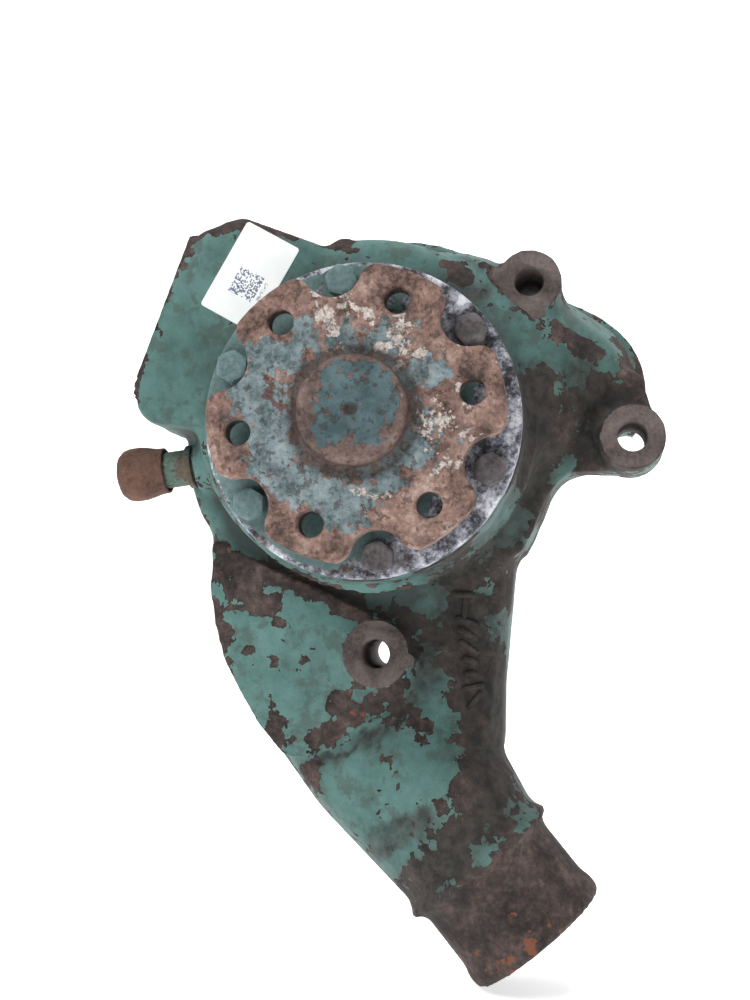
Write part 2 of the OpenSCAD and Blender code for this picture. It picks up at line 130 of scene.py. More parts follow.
class Finish:
    """A material: nodes are added to it, and close() connects the surface."""

    def __init__(self, name):
        self.material = bpy.data.materials.new(name)
        self.material.use_nodes = True
        self.tree = self.material.node_tree
        self.tree.nodes.clear()
        self.place = self.node("ShaderNodeTexCoord", out="Object")

    def node(self, kind, settings=(), sockets=(), out=0):
        made = self.tree.nodes.new(kind)
        for name, value in dict(settings).items():
            if name == "stops":
                stops = made.color_ramp.elements
                while len(stops) < len(value):
                    stops.new(1.0)
                for stop, (position, colour) in zip(stops, value):
                    stop.position, stop.color = position, (*colour, 1)
            else:
                setattr(made, name, value)
        for key, value in dict(sockets).items():
            if isinstance(value, Wire):
                self.tree.links.new(value.socket, made.inputs[key])
            else:
                made.inputs[key].default_value = value
        return Wire(self, made.outputs[out])

    def noise(self, size, detail=5, rough=0.55, shift=0.0, warp=0.0):
        """Cloudy noise whose blotches are about `size` metres across."""
        where = self.place
        if shift:
            where = self.node("ShaderNodeVectorMath", {"operation": "ADD"},
                              {0: where, 1: (shift, shift * 1.7, shift * 0.6)})
        return self.node("ShaderNodeTexNoise", sockets={
            "Vector": where, "Scale": 0.7 / size, "Detail": detail, "Roughness": rough,
            "Distortion": warp})

    def mask(self, name):
        """A number painted on the mesh, such as its wear."""
        return self.node("ShaderNodeAttribute", {"attribute_name": name}, out="Fac")

    def mix(self, mask, below, above):
        """The colour `below` where the mask is 0 and `above` where it is 1."""
        as_colour = [(*c, 1) if isinstance(c, tuple) else c for c in (below, above)]
        return self.node("ShaderNodeMix", {"data_type": "RGBA"},
                         {0: mask, 6: as_colour[0], 7: as_colour[1]}, out=2)

    def ramp(self, value, *stops):
        return self.node("ShaderNodeValToRGB", {"stops": stops}, {"Fac": value})

    def close(self, colour, rough, height=None, metal=0.0):
        """Ends the material. The height is in metres and becomes the bump."""
        surface = self.tree.nodes.new("ShaderNodeBsdfPrincipled")
        values = {"Base Color": colour, "Roughness": rough, "Metallic": metal,
                  "Specular IOR Level": SHEEN}
        if height is not None:
            values["Normal"] = self.node("ShaderNodeBump", sockets={
                "Height": height, "Distance": 1.0, "Strength": 1.0})
        for name, value in values.items():
            if isinstance(value, Wire):
                self.tree.links.new(value.socket, surface.inputs[name])
            else:
                surface.inputs[name].default_value = (*value, 1) if isinstance(value, tuple) else value
        output = self.tree.nodes.new("ShaderNodeOutputMaterial")
        self.tree.links.new(surface.outputs[0], output.inputs[0])
        return self.material


# %% [markdown]
# ## Engine paint over cast iron
#
# Engines are painted assembled, in one thick coat of grey-green enamel.
# After decades it has come off in flakes with sharp outlines: more on
# corners and where hands and spanners go, and less in sheltered places. Under
# it the iron is dark brown, with a few orange freckles. The hollows are
# darkened, partly with oily dirt and partly with painted shade, and each
# flake's edge has a painted highlight on the paint and a painted shadow on
# the iron.
#
# Numbers painted on the mesh steer that: `wear` says how much paint is gone
# around a place, `edge` is high on corners, `grime` in hollows,
# where it darkens with dirt and painted shade, `film` where old
# grease has dried and along a few lines where it paints a shadow, and `red`
# where rust is fresh. Noise gives the flakes their outlines, because a
# threshold on cloudy noise has just such a ragged coast. A number that a
# piece doesn't carry reads as 0.

# %% Brown iron under the paint
def bare_iron(f):
    """Colour and grain of old, oxidised cast iron."""
    blotch = f.noise(0.012, 6, 0.62, 3.1)
    fine = f.noise(0.0022, 5, 0.7, 5.7)
    brown = f.ramp(blotch * 0.55 + fine * 0.45,
                   (0.38, (0.016, 0.013, 0.013)), (0.47, (0.042, 0.031, 0.029)),
                   (0.55, (0.080, 0.056, 0.050)), (0.66, (0.160, 0.120, 0.108)))
    orange = (f.noise(0.006, 6, 0.6, 9.2) + f.mask("red") * 0.22).above(0.67, 0.06)
    return f.mix(orange * 0.75, brown, (0.230, 0.078, 0.038)), fine


# %% The paint itself
def engine_paint(name):
    f = Finish(name)
    iron, grain = bare_iron(f)
    wear, edge, grime = f.mask("wear"), f.mask("edge"), f.mask("grime")
    flakes = f.noise(0.011, 8, 0.60, 0.4, 0.35)
    chips = f.noise(0.0038, 6, 0.65, 2.2)
    field = (flakes * 0.60 + chips * 0.40 - 0.5) * 2.7 + 0.5
    lost = wear * 0.84 + edge * 0.24 + 0.06
    speck = f.noise(0.0042, 3, 0.5, 8.0, 0.6).above(0.735 - wear * 0.16, 0.02)
    painted = field.above(lost, 0.012) * (1 - speck)
    shade = f.noise(0.030, 5, 0.6, 7.7)
    green = f.ramp(shade * 0.65 + chips * 0.35,
                   (0.34, (0.048, 0.108, 0.097)),
                   (0.50, (0.084, 0.178, 0.162)),
                   (0.66, (0.120, 0.235, 0.218)))
    # Painted highlight: `rim` lightens the green along each flake's edge, and `shadow` paints shade on the iron
    # just beside it.
    rim = painted - field.above(lost + 0.040, 0.030)
    shadow = field.above(lost - 0.060, 0.060) - painted
    iron = f.mix(shadow.clipped() * 0.60, iron, (0.018, 0.015, 0.014))
    green = f.mix(rim * 0.60, green, (0.185, 0.270, 0.235))
    stain = f.noise(0.008, 7, 0.72, 11.3).above(0.56, 0.10)
    green = f.mix(stain * 0.55, green, (0.062, 0.075, 0.064))
    surface = f.mix(painted, iron, green)
    # Darker in hollows: painted shade from grime, mixed with blotchy dirt.
    dirt_and_shade = (grime * 1.0 + (f.noise(0.011, 7, 0.68, 4.9) - 0.5) * 1.3).clipped()
    surface = f.mix(dirt_and_shade * 0.80, surface, (0.027, 0.026, 0.024))
    # Dark film of dried grease, which along the pad's ridge is a painted shadow line.
    film = (f.mask("film") * 0.75 + (f.noise(0.007, 7, 0.70, 6.2) - 0.5) * 1.6 * f.mask("film")).clipped()
    surface = f.mix(film, surface, f.ramp(chips, (0.38, (0.014, 0.017, 0.017)), (0.62, (0.058, 0.052, 0.045))))
    swell = f.noise(0.014, 3, 0.5, 1.3)
    height = painted * 0.00040 + grain * 0.00038 + swell * 0.0007 + chips * 0.0002
    rough = 0.78 - painted * 0.22 + dirt_and_shade * 0.10 + (grain - 0.5) * 0.25
    return f.close(surface, rough, height)


paint = engine_paint("chipped_paint")
print("made", paint.name)

# %% [markdown]
# ## Bare and rusty metals
#
# The drive flange is forged steel. Its paint has mostly gone, and what shows
# is light brown rust with pale, scaly flakes where primer and scale still
# cling. The bearing housing is iron that was rubbed clean on one side, so it
# is mottled grey there and painted on the other.

# %% Rusty flange with flaking paint
def flange_finish():
    f = Finish("flange_steel")
    edge, grime = f.mask("edge"), f.mask("grime")
    blotch, fine = f.noise(0.009, 7, 0.64, 0.8), f.noise(0.0015, 6, 0.7, 6.1)
    rust = f.ramp(blotch * 0.6 + fine * 0.4,
                  (0.38, (0.046, 0.032, 0.029)), (0.45, (0.150, 0.092, 0.075)),
                  (0.54, (0.285, 0.178, 0.146)), (0.64, (0.450, 0.340, 0.295)))
    field = (f.noise(0.0075, 8, 0.66, 3.6, 0.5) * 0.62 + f.noise(0.0024, 6, 0.68, 8.8) * 0.38 - 0.5) * 2.8 + 0.5
    paint_left = field.above(0.94 - f.mask("paint") * 0.72 + edge * 0.20, 0.020)
    coat = f.ramp(f.noise(0.006, 6, 0.62, 2.7) * 0.6 + fine * 0.4,
                  (0.38, (0.040, 0.070, 0.070)), (0.50, (0.170, 0.222, 0.236)),
                  (0.64, (0.290, 0.350, 0.362)))
    ahead = Wire(f, f.node("ShaderNodeSeparateXYZ", sockets={0: f.place}).socket.node.outputs[1]) * -1
    nose = ahead.above(0.1525, 0.002)
    coat = f.mix(nose, coat, f.ramp(blotch, (0.38, (0.040, 0.075, 0.084)), (0.60, (0.092, 0.150, 0.162))))
    rust = f.mix(nose * 0.52, rust, (0.070, 0.058, 0.056))
    surface = f.mix(paint_left, rust, coat)
    red = (f.mask("red") * 0.7 + (blotch - 0.5) * 1.8).above(0.42, 0.12)
    surface = f.mix(red * 0.8, surface, (0.120, 0.042, 0.032))
    flakes = (f.noise(0.0050, 8, 0.70, 5.4, 0.6) * 0.55 + f.noise(0.0015, 5, 0.7, 9.5) * 0.45 - 0.5) * 1.9 + 0.5
    pale = flakes.above(1.02 - f.mask("scale") * 0.58 - edge * 0.34, 0.03)
    surface = f.mix(pale * (1 - nose * 0.7), surface,
                    f.ramp(fine, (0.38, (0.330, 0.275, 0.245)), (0.62, (0.700, 0.640, 0.590))))
    # Darker in hollows: painted shade from grime, mixed with blotchy dirt.
    dirt_and_shade = (grime * 1.5 + (f.noise(0.006, 7, 0.72, 14.0) - 0.49) * 3.4).clipped()
    surface = f.mix(dirt_and_shade * 0.74, surface, (0.034, 0.031, 0.029))
    crumbs = f.noise(0.0030, 6, 0.72, 16.5).above(0.585, 0.025)
    surface = f.mix(crumbs * 0.60, surface, (0.060, 0.038, 0.033))
    height = paint_left * 0.00028 - crumbs * 0.00020 + pale * 0.00016 + fine * 0.00030 + blotch * 0.00030
    return f.close(surface, 0.80 - paint_left * 0.20 + (fine - 0.5) * 0.2, height)


# %% Bearing housing: bare mottled iron and paint
def housing_front_finish():
    f = Finish("machined_iron")
    edge, grime = f.mask("edge"), f.mask("grime")
    cloud, fine = f.noise(0.007, 7, 0.66, 1.9), f.noise(0.0013, 6, 0.72, 4.4)
    bare = f.ramp(cloud * 0.6 + fine * 0.4,
                  (0.42, (0.026, 0.026, 0.030)), (0.47, (0.120, 0.124, 0.148)),
                  (0.53, (0.370, 0.380, 0.440)), (0.60, (0.740, 0.750, 0.790)))
    rusty = f.noise(0.011, 6, 0.62, 7.3).above(0.60, 0.08)
    bare = f.mix(rusty * 0.5, bare, (0.130, 0.085, 0.068))
    field = f.noise(0.016, 8, 0.60, 9.9, 0.3) * 0.7 + f.noise(0.0035, 6, 0.66, 2.8) * 0.3
    painted = field.above(0.25 + f.mask("wear") * 0.60 + edge * 0.20, 0.014)
    green = f.ramp(f.noise(0.02, 5, 0.6, 6.6) * 0.6 + fine * 0.4,
                   (0.36, (0.072, 0.130, 0.125)), (0.50, (0.135, 0.220, 0.215)), (0.64, (0.190, 0.290, 0.285)))
    surface = f.mix(painted, bare, green)
    # Painted shade in hollows and painted shadow at the bolts, mixed with grease and dirt.
    dirt_and_shade = (grime * 1.1 + f.mask("film") * 0.6 + (f.noise(0.008, 7, 0.74, 12.1) - 0.545) * 3.4).clipped()
    surface = f.mix(dirt_and_shade * 0.75, surface, (0.034, 0.033, 0.036))
    height = painted * 0.00014 + fine * 0.00022 + cloud * 0.00016
    return f.close(surface, 0.62 + painted * 0.02 + (fine - 0.5) * 0.3, height, metal=0.0)


# %% Rust for small fittings, and worn machined faces
def rust_finish(name, dark, light, spread=0.006, paint_amount=0.0):
    f = Finish(name)
    blotch, fine = f.noise(spread, 7, 0.66, 2.0), f.noise(0.0011, 6, 0.7, 7.0)
    middle = tuple((a + b) / 2 for a, b in zip(dark, light))
    surface = f.ramp(blotch * 0.6 + fine * 0.4, (0.36, dark), (0.50, middle), (0.66, light))
    if paint_amount:
        left = (f.noise(0.010, 8, 0.62, 5.5) * 0.7 + fine * 0.3).above(0.76 - paint_amount * 0.5, 0.014)
        surface = f.mix(left, surface, f.ramp(fine, (0.40, (0.085, 0.130, 0.105)), (0.62, (0.135, 0.205, 0.170))))
    freckle = f.noise(0.003, 6, 0.7, 13.0).above(0.63, 0.06)
    surface = f.mix(freckle * 0.5, surface, (0.240, 0.100, 0.055))
    return f.close(surface, 0.82 + (fine - 0.5) * 0.25, fine * 0.0003 + blotch * 0.0003)


flange_steel, machined_iron = flange_finish(), housing_front_finish()
nipple_rust = rust_finish("nipple_steel", (0.055, 0.050, 0.040), (0.170, 0.130, 0.100), paint_amount=0.55)
cap_rust = rust_finish("rusty_steel", (0.060, 0.031, 0.024), (0.195, 0.108, 0.080))
worn_face = rust_finish("worn_face", (0.050, 0.040, 0.037), (0.185, 0.150, 0.140), 0.009)
print("made", len(bpy.data.materials), "materials so far")

# %% [markdown]
# ## From sharp solids to a casting
#
# A pattern for sand casting has no sharp corners: they would crumble. The
# CAD solids are sharp where two shapes meet. A voxel remesh turns the joined
# shapes into one even skin, and smoothing the skin where it is hollow lays
# down the fillets that a pattern maker would. Then the machine shop has its
# turn: faces are cut flat and holes are drilled, which gives the crisp rims
# that tell a machined face from a cast one.
#
# Voxels are even, so a hole much smaller than a few voxels would turn ragged.
# So the small holes are plugged before the remesh and drilled afterwards.

# %% Helpers for mesh work
def merged_copy(node, name):
    """A CAD node's mesh comes as loose triangles: this is a joined copy of it."""
    mesh = frame["nodes"][node].data.copy()
    mesh.materials.clear()
    piece = bpy.data.objects.new(name, mesh)
    bpy.context.scene.collection.objects.link(piece)
    joiner = piece.modifiers.new("join", "WELD")
    joiner.merge_threshold = 1e-6
    return applied(piece)


def applied(piece):
    """Replaces a piece's mesh with the result of its modifiers."""
    solid = bpy.data.meshes.new_from_object(
        piece.evaluated_get(bpy.context.evaluated_depsgraph_get()))
    piece.modifiers.clear()
    old, piece.data = piece.data, solid
    solid.name = piece.name
    bpy.data.meshes.remove(old)
    return piece


def make_object(name, verts, faces, material=None):
    mesh = bpy.data.meshes.new(name)
    mesh.from_pydata([tuple(v) for v in verts], [], [tuple(f) for f in faces])
    mesh.update()
    piece = bpy.data.objects.new(name, mesh)
    bpy.context.scene.collection.objects.link(piece)
    if material:
        mesh.materials.append(material)
    return piece


def remeshed(piece, voxel):
    skin = piece.modifiers.new("skin", "REMESH")
    skin.mode, skin.voxel_size, skin.use_smooth_shade = "VOXEL", voxel, True
    return applied(piece)


# %% Rods: plugs for holes, and drills
def rod(centre, axis, radius, back, front, sides=64):
    """Vertices and faces of a closed cylinder along an axis from `back` to `front`."""
    axis = Vector(axis).normalized()
    aside = axis.orthogonal().normalized()
    across = axis.cross(aside)
    ring = [aside * math.cos(t) + across * math.sin(t)
            for t in (2 * math.pi * i / sides for i in range(sides))]
    centre = Vector(centre)
    verts = [centre + axis * at + r * radius for at in (back, front) for r in ring]
    faces = [(i, (i + 1) % sides, sides + (i + 1) % sides, sides + i) for i in range(sides)]
    return verts, faces + [tuple(range(sides))[::-1], tuple(range(sides, 2 * sides))]


def combined(parts):
    """Joins several lists of vertices and faces into one."""
    verts, faces = [], []
    for v, f in parts:
        faces += [tuple(i + len(verts) for i in face) for face in f]
        verts += list(v)
    return verts, faces


def with_plugs(piece, plugs):
    """Adds closed rods to a piece, for the remesh to fuse with it."""
    verts, faces = combined(plugs)
    old = piece.data
    have = len(old.vertices)
    all_verts = [v.co.copy() for v in old.vertices] + verts
    all_faces = [tuple(p.vertices) for p in old.polygons] + [tuple(i + have for i in f) for f in faces]
    fresh = bpy.data.meshes.new(piece.name)
    fresh.from_pydata(all_verts, [], all_faces)
    fresh.update()
    piece.data = fresh
    bpy.data.meshes.remove(old)
    return piece


# %% Numbers of a mesh as arrays
def points(mesh):
    co = np.empty(len(mesh.vertices) * 3, np.float32)
    mesh.vertices.foreach_get("co", co)
    return co.reshape(-1, 3).astype(float)


def normals(mesh):
    out = np.empty(len(mesh.vertices) * 3, np.float32)
    mesh.vertex_normals.foreach_get("vector", out)
    return out.reshape(-1, 3).astype(float)


def neighbours(mesh):
    pairs = np.empty(len(mesh.edges) * 2, np.int32)
    mesh.edges.foreach_get("vertices", pairs)
    return pairs.reshape(-1, 2)


def averaged(values, pairs, rounds=1):
    """Each point takes the mean of its neighbours' values, so many times."""
    a, b = np.concatenate([pairs[:, 0], pairs[:, 1]]), np.concatenate([pairs[:, 1], pairs[:, 0]])
    count = np.maximum(np.bincount(a, minlength=len(values)), 1)
    flat = values.reshape(len(values), -1)
    for _ in range(rounds):
        flat = np.stack([np.bincount(a, flat[b, k], len(flat)) / count for k in range(flat.shape[1])], 1)
    return flat.reshape(values.shape)


def proud(mesh, rounds):
    """How far each point stands out of its smoothed surroundings, in metres. Hollows are negative."""
    co, pairs = points(mesh), neighbours(mesh)
    return ((co - averaged(co, pairs, rounds)) * normals(mesh)).sum(1)


def set_points(mesh, co):
    mesh.vertices.foreach_set("co", co.astype(np.float32).ravel())
    mesh.update()


# %% Fillets: smooth the skin, most of all in its hollows
def lay_fillets(piece, gentle, hollow, keep=None, depth=0.00012):
    mesh = piece.data
    pairs = neighbours(mesh)
    hold = np.zeros(len(mesh.vertices)) if keep is None else keep
    co = points(mesh)
    for _ in range(gentle):  # Taubin smoothing: a shrinking step, then one that grows back
        for step in (0.5, -0.52):
            co += (averaged(co, pairs) - co) * step * (1 - hold)[:, None]
    set_points(mesh, co)
    sunk = np.clip(-averaged(proud(mesh, 8), pairs, 2) / depth, 0, 1) * (1 - hold)
    sunk = averaged(sunk, pairs, 2)
    for _ in range(hollow):
        co += (averaged(co, pairs) - co) * 0.5 * sunk[:, None]
    set_points(mesh, co)
    return float(sunk.mean())


def paint_number(mesh, name, values):
    layer = mesh.attributes.new(name, "FLOAT", "POINT")
    layer.data.foreach_set("value", np.clip(values, 0, 1).astype(np.float32))


def wobble(at):
    """Bends the strokes by some millimetres, another way at each place and depth."""
    bend = np.zeros((len(at), 2))
    for length, reach in ((31.0, 2.4), (13.7, 1.7), (6.1, 1.0), (3.3, 0.6)):
        for axis, (a, b, c) in enumerate(((1.0, 0.7, -1.3), (-0.8, 1.2, 1.0))):
            swing = np.sin((at @ np.array((a, c, b))) * 2 * np.pi / length + length)
            bend[:, axis] += reach * swing * np.cos((at @ np.array((b, -a, c))) * 5.1 / length + axis)
    return bend


def nearness(co, strokes):
    """1 along each stroke (x, z, to x, z, and its half width, in mm) and 0 away from it."""
    best = np.zeros(len(co))
    at = co[:, [0, 2]] / MM + wobble(co / MM)
    for x1, z1, x2, z2, radius in strokes:
        start, run = np.array([x1, z1]), np.array([x2 - x1, z2 - z1])
        share = np.clip((at - start) @ run / max(run @ run, 1e-9), 0, 1)
        away = np.linalg.norm(at - start - share[:, None] * run, axis=1) / radius
        t = np.clip((1.75 - away) / 1.45, 0, 1)
        best = np.maximum(best, t * t * (3 - 2 * t))
    return best


print("mesh helpers ready")

# %% [markdown]
# ## The pump housing
#
# The largest piece: drum, volute, the duct down to the hose spigot, the
# bypass box and three bolt bosses, all one casting. Its faces and holes are
# listed first, in the CAD frame. The bolt holes come from the record's
# mounts, so they can't drift away from the real ones.

# %% Places on the housing that a machine shop cuts
mounts = {m["name"]: m for m in frame["record"]["mounts"]}
AHEAD = Vector((0, -1, 0))
bolt_holes = [mounts[f"mounting_hole_{i}"] for i in (1, 2, 3)]
lug_reach = (0.0, 0.046, 0.0)
boss_front = (0.080, 0.080, 0.064)
boss_radius = (0.015, 0.015, 0.0165)
spigot = mounts["suction_spigot"]
spigot_axis = Vector(spigot["axis"])
spigot_end = Vector(spigot["pos_m"]) + spigot_axis * 0.0055
bypass = mounts["bypass_port_face"]
bypass_out = Vector(bypass["axis"])
bypass_along = Vector((bypass_out.z, 0, -bypass_out.x))
bypass_foot = bypass_out * 0.115
neck_front = 0.118
delivery = Vector((0.086, 0, 0.025))
print("bypass face looks along", tuple(round(c, 3) for c in bypass_out))

# %% Plugs before the remesh
BOLT_CIRCLE, FIRST_BOLT = 0.060, math.radians(37.4)
cover_angles = [FIRST_BOLT + math.radians(60 * k) for k in range(6)]
cover_spots = [Vector((BOLT_CIRCLE * math.cos(a), 0, BOLT_CIRCLE * math.sin(a))) for a in cover_angles]
small_ports = [bypass_foot + bypass_along * u + Vector((0, -0.055, 0)) for u in (-0.0185, 0.0525)]
plugs, drills = [], []
for hole, back, front, radius in zip(bolt_holes, lug_reach, boss_front, boss_radius):
    spot = Vector((hole["pos_m"][0], 0, hole["pos_m"][2]))
    plugs.append(rod(spot, AHEAD, 0.0079, back - 0.0006, front + 0.0008))
    plugs.append(rod(spot, AHEAD, radius - 0.0004, front - 0.002, front + 0.0008))
    drills.append(rod(spot, AHEAD, 0.0069, back - 0.01, front + 0.01))
for spot in cover_spots:
    plugs.append(rod(spot, AHEAD, 0.0050, neck_front - 0.0225, neck_front))
    drills.append(rod(spot, AHEAD, 0.00402, neck_front - 0.022, neck_front + 0.01, 32))
for spot in small_ports:
    plugs.append(rod(spot, bypass_out, 0.0045, -0.0165, 0.0))
    drills.append(rod(spot, bypass_out, 0.0034, -0.0165, 0.01, 32))
print(len(plugs), "plugs and", len(drills), "drills")

# %% Raise the stock, remesh and lay the fillets
casting = merged_copy("pump_housing", "pump_casting")
with_plugs(casting, plugs)
HOUSING_VOXEL = 0.00205
remeshed(casting, HOUSING_VOXEL)
co = points(casting.data)
machined = np.maximum.reduce([
    (co[:, 1] > -0.0016).astype(float),
    (co[:, 1] < -(neck_front - 0.0016)).astype(float),
    ((co @ np.array(bypass_out)) > 0.115 - 0.0016).astype(float),
    ((co - np.array(spigot_end)) @ np.array(spigot_axis) > -0.002).astype(float)])
inside_register = (np.hypot(co[:, 0], co[:, 2]) < 0.0515) & (co[:, 1] < -0.080)
machined[inside_register] = 1
share = lay_fillets(casting, 3, 26, keep=machined)
print("casting:", len(casting.data.polygons), "faces; hollow share", round(share, 3))

# %% Blunter outer corners, and the ridge with a groove along the raised pad
ROUND_CORNERS = [(-117, 16, -117, 10, 8), (-88, 101, -80, 106, 6), (-80, -46, -78, -56, 7)]
PAD_RIDGE = [(17, -103, 16, -117, 1.5), (16, -117, 7, -128, 1.5),
             (7, -128, -11, -139, 1.5), (-11, -139, -32, -149, 1.5)]
PAD_GROOVE = [(20, -119, 11, -131, 1.5), (11, -131, -9, -143, 1.5), (-9, -143, -31, -153, 1.5)]
RIDGE_HEIGHT, GROOVE_DEPTH = 0.0022, 0.0016
co, pairs = points(casting.data), neighbours(casting.data)
blunt = nearness(co, ROUND_CORNERS)
for _ in range(60):  # sideways only, so that flat faces stay flat
    co += (averaged(co, pairs) - co) * (0.5, 0, 0.5) * blunt[:, None]
set_points(casting.data, co)
lift = nearness(co, PAD_RIDGE) * RIDGE_HEIGHT - nearness(co, PAD_GROOVE) * GROOVE_DEPTH
lift *= (co[:, 1] < -0.03) * (1 - machined)
set_points(casting.data, co + normals(casting.data) * lift[:, None])
print("ridge lifts the skin by up to", round(float(lift.max()) / MM, 2), "mm")

# %% [markdown]
# ## Machining
#
# A Boolean difference with solid cutters takes off the stock and drills the
# holes. The cutters carry their own material. The faces cut on the bolt
# bosses and in the holes take it, which tells them from cast skin without any
# painting. The two faces skimmed first, at the rear and at the bypass port,
# don't take it: they come out in the casting's paint, though the real ones
# would be bare. Blender's Manifold solver is fast and needs closed meshes,
# which both are.

# %% Cut faces and holes
def machine(piece, solids, finish):
    verts, faces = combined(solids)
    cutter = make_object("cutter", verts, faces, finish)
    cut = piece.modifiers.new("machining", "BOOLEAN")
    cut.operation, cut.solver, cut.object = "DIFFERENCE", "MANIFOLD", cutter
    before = len(piece.data.polygons)
    applied(piece)
    bpy.data.objects.remove(cutter)
    print(piece.name, before, "->", len(piece.data.polygons), "faces,",
          [m.name if m else None for m in piece.data.materials])
    return piece


def slab(centre, axis, radius, thickness, sides=64):
    """A disc-shaped cutter that starts at the centre and goes outward."""
    return rod(centre, axis, radius, 0.0, thickness, sides)


def groove(centre, axis, outer, inner, depth, sides=96):
    """A ring-shaped cutter, for a seal groove in a face."""
    axis = Vector(axis).normalized()
    aside = axis.orthogonal().normalized()
    across = axis.cross(aside)
    rim = [(outer, -depth), (outer, 0.003), (inner, 0.003), (inner, -depth)]
    verts = [Vector(centre) + axis * h + (aside * math.cos(t) + across * math.sin(t)) * r
             for t in (2 * math.pi * i / sides for i in range(sides)) for r, h in rim]
    faces = []
    for i in range(sides):
        for k in range(4):
            a, b = i * 4 + k, i * 4 + (k + 1) % 4
            c, d = (i + 1) % sides * 4 + (k + 1) % 4, (i + 1) % sides * 4 + k
            faces.append((a, b, c, d))
    return verts, faces


stock = normals(casting.data)
co = points(casting.data)
rear = (co[:, 1] > -0.0019) & (stock[:, 1] > 0.25)
co[rear, 1] = 0.0007
port_side = ((co @ np.array(bypass_out)) > 0.115 - 0.0018) & (stock @ np.array(bypass_out) > 0.3)
co[port_side] += np.array(bypass_out) * (0.1156 - co[port_side] @ np.array(bypass_out))[:, None]
set_points(casting.data, co)
casting.data.materials.append(paint)

skim = [slab((0, 0, 0), (0, 1, 0), 0.40, 0.01, 8),
        slab(bypass_foot, bypass_out, 0.085, 0.01, 8)]
machine(casting, skim, worn_face)
faces_cut = [slab((h["pos_m"][0], -f, h["pos_m"][2]), AHEAD, r + 0.0035, 0.003)
             for h, f, r in zip(bolt_holes, boss_front, boss_radius)]
machine(casting, faces_cut, worn_face)
drills += [groove(delivery, (0, 1, 0), 0.0305, 0.027, 0.0032),
           rod((0, -0.0935, -0.04), (0, 0, -1), 0.0025, 0.0, 0.05, 32)]
machine(casting, drills, worn_face)

# %% [markdown]
# ## Painting wear on the housing
#
# How far a point stands out of its smoothed surroundings is a good guess of
# how much it was rubbed, and how deep it lies tells where dirt stays and
# where shade is painted. The rest is this pump's own history: which areas
# lost their paint, and which kept it. Those are brush strokes in the plane of
# the front view: two ends and a half width each, in millimetres.

# %% Worn and sheltered areas
BARE = [(-72, -63, -61, -79, 8.3), (-55, -62, -11, -80, 4.9), (-23, -75, -10, -83, 5.3), (0, -101, 0, -101, 15.5),
        (-53, -81, -49, -91, 2.9), (-62, -100, -60, -101, 3.9), (-51, -106, -50, -108, 1.9),
        (-37, -101, -37, -107, 2.9),
        (-78, -81, -76, -95, 3.9), (-52, -125, -48, -143, 4.8), (-29, -141, 8, -119, 3.8),
        (-22, -123, -18, -130, 3.3),
        (7, -127, 21, -140, 6.1), (14, -86, 24, -94, 5.7), (39, -72, 41, -124, 11.4), (49, -119, 48, -169, 14.9),
        (55, -77, 59, -58, 5.7), (-34, -157, -33, -160, 5.8), (1, -145, 10, -162, 1.2), (6, -213, 27, -217, 6.5),
        (42, -180, 20, -203, 8.1), (98, 16, 103, 17, 10.8), (113, 46, 123, 25, 4.6), (71, 23, 73, -24, 9.2),
        (103, -16, 80, -39, 6.4), (37, 73, 42, 72, 5.5), (-81, 101, -42, 100, 4.4), (-85, 96, -107, 51, 2.4),
        (-111, 47, -115, 16, 3.0), (42, -58, 58, -58, 7.6), (-21, 91, -12, 89, 4.3), (85, 5, 94, -9, 8.2),
        (71, 70, 71, 70, 14.6), (117, -3, 117, -3, 14.2), (122, 35, 122, 16, 6.4), (85, 46, 103, 36, 4.1),
        (-82, -47, -77, -55, 4.0)]
KEPT = [(49, -78, 49, -82, 5.7), (22, -75, 25, -79, 5.7), (27, -117, 33, -148, 6.6), (-63, -95, -15, -100, 13.6),
        (-58, -119, -30, -124, 9.5), (-19, -158, 23, -152, 11.0), (-12, -180, 4, -184, 5.0), (71, 34, 73, 31, 6.3),
        (89, 31, 94, 22, 4.0), (88, 56, 109, 43, 4.1), (-92, 64, -91, 21, 21.7), (-54, 87, -20, 85, 6.7),
        (-2, 85, 26, 78, 5.6), (58, 60, 67, 46, 5.5), (77, -21, 88, -16, 3.7), (20, -102, 20, -119, 3.8),
        (58, -39, 46, -58, 2.8)]
# Dried grease and dirt. The three thin strokes along the pad's ridge paint the shadow line below it.
FILM_AND_SHADOW = [(94, 24, 104, 2, 12), (72, 18, 72, -30, 12), (44, -84, 56, -165, 15), (40, -60, 60, -50, 8),
        (16, -212, 46, -178, 11), (30, 66, 48, 62, 6), (-96, 100, -60, 104, 4), (-18, -62, 36, -62, 5),
        (19, -119, 9, -132, 1.9), (9, -132, -9, -144, 1.9), (-9, -144, -31, -154, 1.7), (-4, -192, 22, -176, 6),
        (62, 20, 70, -20, 8), (30, -70, 22, -112, 7)]
FRESH_RUST = [(20, -127, 26, -129, 2.6), (8, -185, 26, -176, 3.2), (52, -243, 72, -226, 1.9)]


